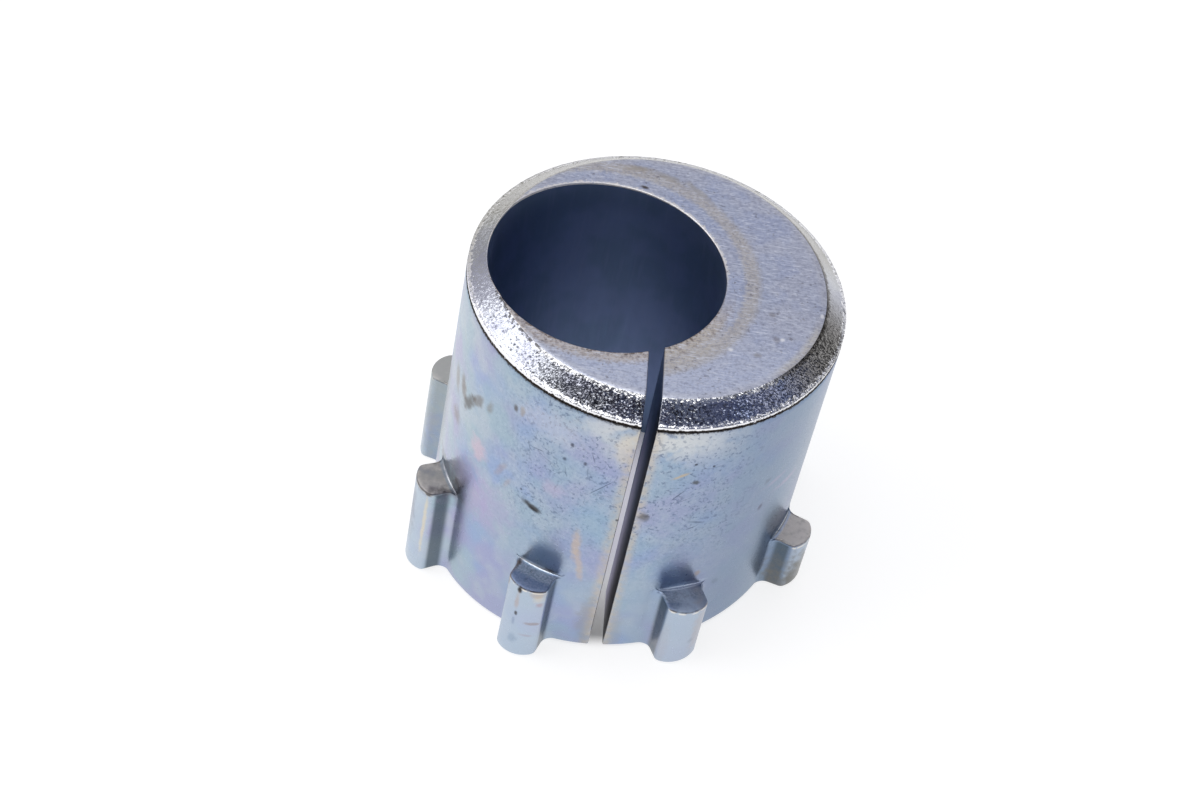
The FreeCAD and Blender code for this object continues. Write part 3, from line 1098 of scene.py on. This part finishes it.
# %% Marks placed on the nose
# (x, y, half width, half length, share, colour, slant in degrees if any)
NOSE_MARKS = (
    (7.5, -9.6, 0.3, 0.3, 0.9, "#F4F4F6"),
    (12.8, -7.1, 0.3, 0.3, 0.9, "#F4F4F6"),
    (17, -2.8, 0.25, 0.4, 0.9, "#F4F4F6"),
    (10.2, -9.8, 0.5, 0.4, 0.5, "#8A8078"),
    (11.8, -3.7, 0.5, 0.4, 0.5, "#807A7A"),
    (12.2, -7.2, 0.4, 0.6, 0.4, "#857C78"),
    (-3, 15.6, 1.9, 0.6, 0.6, "#A79B86"),
    (0.2, 14.9, 1.6, 0.6, 0.5, "#A39A8A", -20),
    (-2.3, 12.8, 0.5, 0.3, 0.9, "#4E443A"),
    (3.6, 13.4, 2.2, 0.5, 0.45, "#B0A795", -40),
)
print("marks on the nose:", len(NOSE_MARKS))

# %% Finish of the nose


def nose_finish():
    """Flat lavender-grey zinc with brushed scratches, and worn bands round the bore."""
    material, add = emptied(bpy.data.materials.new("brushed_zinc_on_nose"))
    at = wall_frame(add)
    place, x, y, radius, arc = at["place"], at["x"], at["y"], at["radius"], at["arc"]
    # Distance from the bore's rim, measured in the plane of the nose.
    shifted = add("VectorMath", (place, (BODY_LENGTH * TAN_TILT, 0, 0)), "ADD")
    squeezed = add("VectorMath", (shifted, (COS_TILT, 1, 0)), "MULTIPLY")
    from_bore = add("VectorMath", (squeezed,), "LENGTH")
    brushed = add(
        "Mapping",
        {"Vector": place, "Rotation": (0, 0, math.radians(50)), "Scale": (1, 4.5, 1)},
    )
    strokes = add("TexNoise", {"Vector": brushed, "Scale": 1.2, "Detail": 4, "Roughness": 0.7})
    fine = add("TexNoise", {"Vector": place, "Scale": 2.4, "Detail": 5, "Roughness": 0.65})
    ring = add("Math", (fine, 1.6, from_bore), "MULTIPLY_ADD")
    worn_ring = ramp(
        add, ring, rise=(BORE_RADIUS + 2.4, BORE_RADIUS + 3.2),
        fall=(BORE_RADIUS + 3.9, BORE_RADIUS + 4.9),
    )
    not_left_front = add("Math", (ramp(add, x, rise=(-1, 1)), ramp(add, y, rise=(0, 6))), "MAXIMUM")
    worn_ring = overlap(add, worn_ring, not_left_front)
    rim_band = ramp(add, ring, fall=(BORE_RADIUS + 1.7, BORE_RADIUS + 2.7))
    near_front = ramp(add, y, fall=(-8, 0))
    wide_band = overlap(
        add, ramp(add, ring, fall=(BORE_RADIUS + 2.8, BORE_RADIUS + 3.9)),
        ramp(add, x, rise=(0, 0.8), fall=(5, 8)), ramp(add, y, fall=(-8, -4)),
    )
    rim_dirt = overlap(
        add, ramp(add, ring, fall=(BORE_RADIUS + 0.95, BORE_RADIUS + 1.2)),
        blotches(add, place, 0.7, 24, 0.6, soft=0.06),
    )
    chipped = overlap(
        add, ramp(add, ring, fall=(BORE_RADIUS + 1.05, BORE_RADIUS + 1.25)),
        ramp(add, y, rise=(-2, 3)), 0.9,
    )
    edge = ramp(add, radius, rise=(NOSE_RADIUS - 1.1, NOSE_RADIUS - 0.3))
    cream_edge = overlap(add, edge, ramp(add, arc, rise=(14, 18), fall=(24, 28)))
    colour = layered(
        add, "#B6BDD0",
        ("#BEC0CC", blotches(add, place, 6, 21, 0.5), 0.6),
        ("#A9B4D2", blotches(add, place, 3, 22, 0.4), 0.5),
        ("#CFD7EA", ramp(add, y, fall=(-16, -2)), 0.65),
        ("#C6BDAE", worn_ring, 0.7),
        ("#CFC1AE", rim_band, near_front, 0.75),
        ("#CDC4B4", wide_band, 0.7),
        ("#CFCBC6", edge, 0.3),
        ("#D8D2C4", cream_edge, 0.7),
        ("#8C90A6", ramp(add, fine, fall=(0.40, 0.52)), 0.38),
        ("#CFD2DC", ramp(add, fine, rise=(0.52, 0.62)), 0.35),
        ("#8A7460", rim_band, near_front, ramp(add, fine, fall=(0.42, 0.5)), 0.3),
        ("#F0ECE6", chipped),
        ("#6E5C4C", rim_dirt, near_front, 0.75),
        ("#D4D8E6", ramp(add, strokes, rise=(0.54, 0.66)), 0.5),
        ("#85899F", ramp(add, strokes, fall=(0.34, 0.46)), 0.4),
        ("#EEF0F6", ramp(add, strokes, rise=(0.62, 0.66)), 0.6),
        ("#66626A", specks(add, place, 0.5, 8, 0.36, 0.5), 0.55),
    )
    for turned, level in ((35, 0.635), (-35, 0.635), (75, 0.64)):
        drawn = add(
            "Mapping",
            {"Vector": place, "Rotation": (0, 0, math.radians(turned)), "Scale": (0.5, 8, 1)},
        )
        thin_lines = add("TexNoise", {"Vector": drawn, "Scale": 1, "Detail": 2})
        scratched = overlap(add, ramp(add, thin_lines, rise=(level, level + 0.02)), 0.5)
        colour = layered(add, colour, ("#E9ECF4", scratched))
    colour = marks(add, x, y, place, colour, NOSE_MARKS)
    roughness = add("MapRange", {"Value": strokes, "To Min": 0.46, "To Max": 0.28})
    finish_metal(add, colour, roughness, strokes, 0.012)
    return material


print("finish of the nose ready")

# %% [markdown]
# ## The bore and the slit
#
# The bore was pierced and keeps a thin dark blue film. It sees little light, and what it sees
# it passes from wall to wall, so it looks deep navy. The slit's faces carry painted light and
# shade: a pale lavender glow inside, dark shade at the outside and tan-grey shade low down.

# %% Finish of the bore and the slit


def bore_finish():
    """Thin dark blue film on the pierced bore, with faint upright marks of the tool, and painted light
    and shade on the slit's faces.
    """
    material, add = emptied(bpy.data.materials.new("dark_blue_film_in_bore"))
    at = wall_frame(add)
    place, height = at["place"], at["height"]
    streaked = add("Mapping", {"Vector": place, "Scale": (1, 1, 0.12)})
    streaks = add("TexNoise", {"Vector": streaked, "Scale": 1.4, "Detail": 5})
    across = add("Math", (at["x"],), "ABSOLUTE")
    in_slit = overlap(
        add, ramp(add, across, fall=(SLIT_WIDTH / 2 + 0.2, SLIT_WIDTH / 2 + 0.4)),
        ramp(add, at["y"], fall=(-BORE_RADIUS - 0.4, -BORE_RADIUS + 0.4)),
    )
    outer = ramp(add, at["y"], fall=(-19.4, -16))
    inner = ramp(add, at["y"], rise=(-18, -13))
    colour = layered(
        add, "#7E90B2",
        ("#768BA8", blotches(add, place, 5, 31, 0.5)),
        ("#8A9ABC", ramp(add, streaks, rise=(0.5, 0.7)), 0.35),
        # painted light and shade on the slit's faces: tan-grey shade low down, a pale lavender glow
        # inside and dark shade at the outside
        ("#8A8278", in_slit, ramp(add, height, fall=(8, 22)), 0.75),
        ("#DAD6EC", in_slit, inner, ramp(add, height, fall=(26, 33)), 0.85),
        ("#3A3D46", in_slit, outer, 0.8),
    )
    roughness = add("MapRange", {"Value": streaks, "To Min": 0.42, "To Max": 0.6})
    finish_metal(add, colour, roughness, streaks, 0.01)
    return material


FINISHES = {BASE: wall_finish(), CHAMFER: chamfer_finish(), NOSE: nose_finish(), BORE: bore_finish()}
FINISHES[WALL] = FINISHES[BASE]
FINISHES[SLIT] = FINISHES[BORE]
print("finishes:", sorted({finish.name for finish in FINISHES.values()}))

# %% [markdown]
# ## Relief and finishes with Geometry Nodes
#
# The grain of the chamfer is deep enough to break its edges, so it is real relief: the tree
# draws each point in along its normal by a seeded noise. Nothing moves outwards, so that the
# sleeve keeps its size. Then each zone gets its finish.

# %% Tree that draws in the grain and sets the finishes
relief_tree = new_tree("relief and finishes", [
    ("Grain Size", FLOAT),
    ("Grain Depth", FLOAT),
    ("Wave Size", FLOAT),
    ("Wave Depth", FLOAT),
    ("Seed", FLOAT),
])
RELIEF_FADE = 1.0 * MM      # over the base the relief reaches its full depth at this height
WELD_DISTANCE = 0.002 * MM  # points that lie closer together than this become one


def build_relief_tree(add):
    """Fills the tree that draws in the relief and gives each zone its finish."""
    given = add("NodeGroupInput").node.outputs
    place = add("GeometryNodeInputPosition")
    named = "GeometryNodeInputNamedAttribute"
    on_chamfer = add(named, {"Name": "on_chamfer"}, take="Attribute")
    depth = None
    for size, deep, share in (
        ("Grain Size", "Grain Depth", on_chamfer), ("Wave Size", "Wave Depth", 1.0),
    ):
        scale = add("Math", (1.0, given[size]), "DIVIDE")
        field = add(
            "TexNoise",
            {"Vector": place, "W": given["Seed"], "Scale": scale, "Detail": 2.0},
            noise_dimensions="4D",
        )
        part = add("Math", (field, given[deep]), "MULTIPLY")
        part = add("Math", (part, share), "MULTIPLY")
        depth = part if depth is None else add("Math", (depth, part), "ADD")
    # The base stays flat, so the relief fades out just over it.
    above = add("SeparateXYZ", {"Vector": place}, take="Z")
    lifted = add("MapRange", {"Value": above, "From Min": 0.0, "From Max": RELIEF_FADE})
    depth = add("Math", (depth, lifted), "MULTIPLY")
    inward = add("Math", (depth, -1.0), "MULTIPLY")
    normal = add("GeometryNodeInputNormal")
    offset = add("VectorMath", {0: normal, "Scale": inward}, "SCALE")
    drawn = add("GeometryNodeSetPosition", {"Geometry": given["Mesh"], "Offset": offset})
    joined = add("GeometryNodeMergeByDistance", {"Geometry": drawn, "Distance": WELD_DISTANCE})
    done = add("GeometryNodeRealizeInstances", {"Geometry": joined})
    zone = add(named, {"Name": "zone"}, take="Attribute", data_type="INT")
    for number, finish in FINISHES.items():
        chosen = add("FunctionNodeCompare", {"A": zone, "B": number}, "EQUAL", data_type="INT")
        done = add(
            "GeometryNodeSetMaterial",
            {"Geometry": done, "Selection": chosen, "Material": finish},
        )
    add("NodeGroupOutput", {"Mesh": done})


build_relief_tree(partial(add_node, relief_tree))
finished = run_tree(sleeve, relief_tree, {
    "Grain Size": 0.5 * MM,
    "Grain Depth": 0.05 * MM,
    "Wave Size": 6.0 * MM,
    "Wave Depth": 0.05 * MM,
    "Seed": 4.0,
})
finished.calc_loop_triangles()
print("finished sleeve:", len(finished.loop_triangles), "triangles,", len(finished.materials), "finishes")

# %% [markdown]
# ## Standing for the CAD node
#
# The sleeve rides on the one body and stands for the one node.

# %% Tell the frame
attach(sleeve, "root")
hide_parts("camber_bushing")
print("split_sleeve stands for camber_bushing")

# %% [markdown]
# ## Camera
#
# The camera stands where the photograph was taken from: a quarter of a metre away, looking
# down at 47 degrees, with a lens a little longer than normal.

# %% Place the camera
CAMERA_DISTANCE = 259.36 * MM
CAMERA_AZIMUTH = math.radians(2.99)
CAMERA_ELEVATION = math.radians(46.725)
CAMERA_ROLL = math.radians(0.40)
CAMERA_AIM = Vector((-0.63, -0.56, 18.50)) * MM
CAMERA_LENS = 71.35


def direction(azimuth, elevation):
    """The unit vector towards an azimuth from -Y, positive towards +X, and an elevation."""
    return Vector((
        math.sin(azimuth) * math.cos(elevation),
        -math.cos(azimuth) * math.cos(elevation),
        math.sin(elevation),
    ))


back = direction(CAMERA_AZIMUTH, CAMERA_ELEVATION)
level = Vector((math.cos(CAMERA_AZIMUTH), math.sin(CAMERA_AZIMUTH), 0.0))
top = back.cross(level)
right_hand = math.cos(CAMERA_ROLL) * level + math.sin(CAMERA_ROLL) * top
upward = -math.sin(CAMERA_ROLL) * level + math.cos(CAMERA_ROLL) * top
camera = bpy.data.objects.new("camera", bpy.data.cameras.new("camera"))
camera.data.lens = CAMERA_LENS
camera.data.clip_start = 0.01
camera.matrix_world = Matrix.Translation(CAMERA_AIM + CAMERA_DISTANCE * back) @ Matrix(
    (right_hand, upward, back)
).transposed().to_4x4()
bpy.context.scene.collection.objects.link(camera)
bpy.context.scene.camera = camera
print("camera at", [round(value / MM, 1) for value in camera.location], "mm")

# %% [markdown]
# ## Floor
#
# The floor is plain and white, and it carries the sleeve's soft shadow. What the camera and
# the steel see of it is lifted to white, so that the steel mirrors the same white floor. Inside
# the sleeve a weaker glow is painted in, dimmer towards the front wall as painted shade and
# tinted lavender as a painted reflection of the bore.

# %% Make the floor
FLOOR_HALF = 3.0
FLOOR_DROP = 0.03 * MM
FLOOR_GLOW = 0.82


def floor_finish():
    """White matt paper that is lifted to white where it is seen, with a weaker painted glow in the bore.
    """
    material, add = emptied(bpy.data.materials.new("white_paper"))
    lit = add("BsdfDiffuse", {"Color": (0.9, 0.9, 0.9, 1.0)})
    shade = add("BsdfDiffuse", {"Color": (0.35, 0.35, 0.35, 1.0)})
    rays = add("LightPath", take="Is Camera Ray")
    outputs = rays.node.outputs
    mirrored = add("Math", (outputs["Is Glossy Ray"], outputs["Is Transmission Ray"]), "MAXIMUM")
    looked_at = add("Math", (rays, mirrored), "MAXIMUM")
    # Inside the sleeve the paper keeps most of its own shade, with a painted glow that dims towards the
    # front wall as painted shade.
    spot = add("TexCoord", take="Object")
    far = add("VectorMath", (spot,), "LENGTH")
    open_floor = ramp(add, far, rise=((WALL_RADIUS - 2.5) * MM, (WALL_RADIUS + 0.5) * MM))
    bore_glow = add(
        "MapRange",
        {"Value": far, "From Min": 0.8 * BORE_RADIUS * MM, "From Max": WALL_RADIUS * MM,
         "To Min": 0.52, "To Max": 0.18},
    )
    behind = add("SeparateXYZ", {"Vector": spot}, take="Y")
    bore_glow = overlap(
        add, bore_glow,
        add(
            "MapRange",
            {"Value": behind, "From Min": 6.0 * MM, "From Max": 11.5 * MM, "To Min": 1.0, "To Max": 0.4},
        ),
    )
    lift = add("Math", (open_floor, bore_glow), "MAXIMUM")
    # painted reflection: the glow in the bore is tinted lavender, for the light that the blue bore throws
    # on the paper
    film_light = ramp(add, behind, rise=(-13.0 * MM, -6.0 * MM), fall=(11.0 * MM, 13.0 * MM))
    white = (1.0, 1.0, 1.0, 1.0)
    tint = layered(add, white, ((0.90, 0.88, 1.0, 1.0), film_light), (white, open_floor))
    glow = add("Emission", {"Color": tint, "Strength": FLOOR_GLOW})
    seen = add("AddShader", (shade, glow))
    lifted = overlap(add, looked_at, lift)
    surface = add("MixShader", (lifted, lit, seen))
    add("OutputMaterial", {"Surface": surface})
    return material


floor_mesh = bpy.data.meshes.new("floor")
floor_corners = [(-1, -1), (1, -1), (1, 1), (-1, 1)]
floor_mesh.from_pydata(
    [(x * FLOOR_HALF, y * FLOOR_HALF, -FLOOR_DROP) for x, y in floor_corners], [], [(0, 1, 2, 3)]
)
floor = bpy.data.objects.new("floor", floor_mesh)
floor_mesh.materials.append(floor_finish())
bpy.context.scene.collection.objects.link(floor)
print("floor of", 2 * FLOOR_HALF, "metres")

# %% [markdown]
# ## Studio
#
# Polished steel shows the room, so the room is drawn as a dome: a pale ground, a bright
# softbox on the left and another overhead, and the dark of the room round and above the
# camera. Each patch is a direction, the angles where it is full and where it ends, and a
# colour. Directions are an azimuth from -Y, positive towards +X, and an elevation.

# %% Light the studio
STUDIO_GROUND = (0.62, 0.62, 0.66)
# (azimuth, elevation, full within, ends at, colour), angles in degrees
STUDIO_PATCHES = (
    (165.0, 42.0, 25.0, 55.0, (0.66, 0.67, 0.74)),
    (-145.0, 12.0, 18.0, 38.0, (0.50, 0.49, 0.46)),
    (-122.0, 28.0, 8.0, 18.0, (0.55, 0.54, 0.64)),
    (-5.0, 50.0, 26.0, 38.0, (0.035, 0.038, 0.06)),
    (55.0, 34.0, 28.0, 42.0, (0.13, 0.15, 0.23)),
    (104.0, 12.0, 20.0, 34.0, (0.07, 0.07, 0.07)),
    (0.0, 88.0, 13.0, 20.0, (2.4, 2.4, 2.4)),
    (-91.0, 44.0, 15.0, 23.0, (2.3, 2.3, 2.35)),
)


def studio():
    """The studio dome as the world's background."""
    world, add = emptied(bpy.data.worlds.new("studio"))
    towards = add("TexCoord", take="Generated")
    colour = (*STUDIO_GROUND, 1.0)
    for azimuth, elevation, full, ends, tint in STUDIO_PATCHES:
        aim = direction(math.radians(azimuth), math.radians(elevation))
        cosine = add("VectorMath", (towards, aim), "DOT_PRODUCT")
        limits = (math.cos(math.radians(ends)), math.cos(math.radians(full)))
        mask = ramp(add, cosine, rise=limits)
        colour = layered(add, colour, ((*tint, 1.0), mask))
    up = add("SeparateXYZ", {"Vector": towards}, take="Z")
    horizon = ramp(add, up, fall=(math.sin(math.radians(1)), math.sin(math.radians(5))))
    colour = layered(add, colour, ((1.0, 1.0, 1.0, 1.0), horizon))
    light = add("Background", {"Color": colour, "Strength": 1.0})
    add("OutputWorld", {"Surface": light})
    return world


bpy.context.scene.world = studio()
bpy.context.scene.view_settings.view_transform = "Standard"
print("studio dome with", len(STUDIO_PATCHES), "patches")
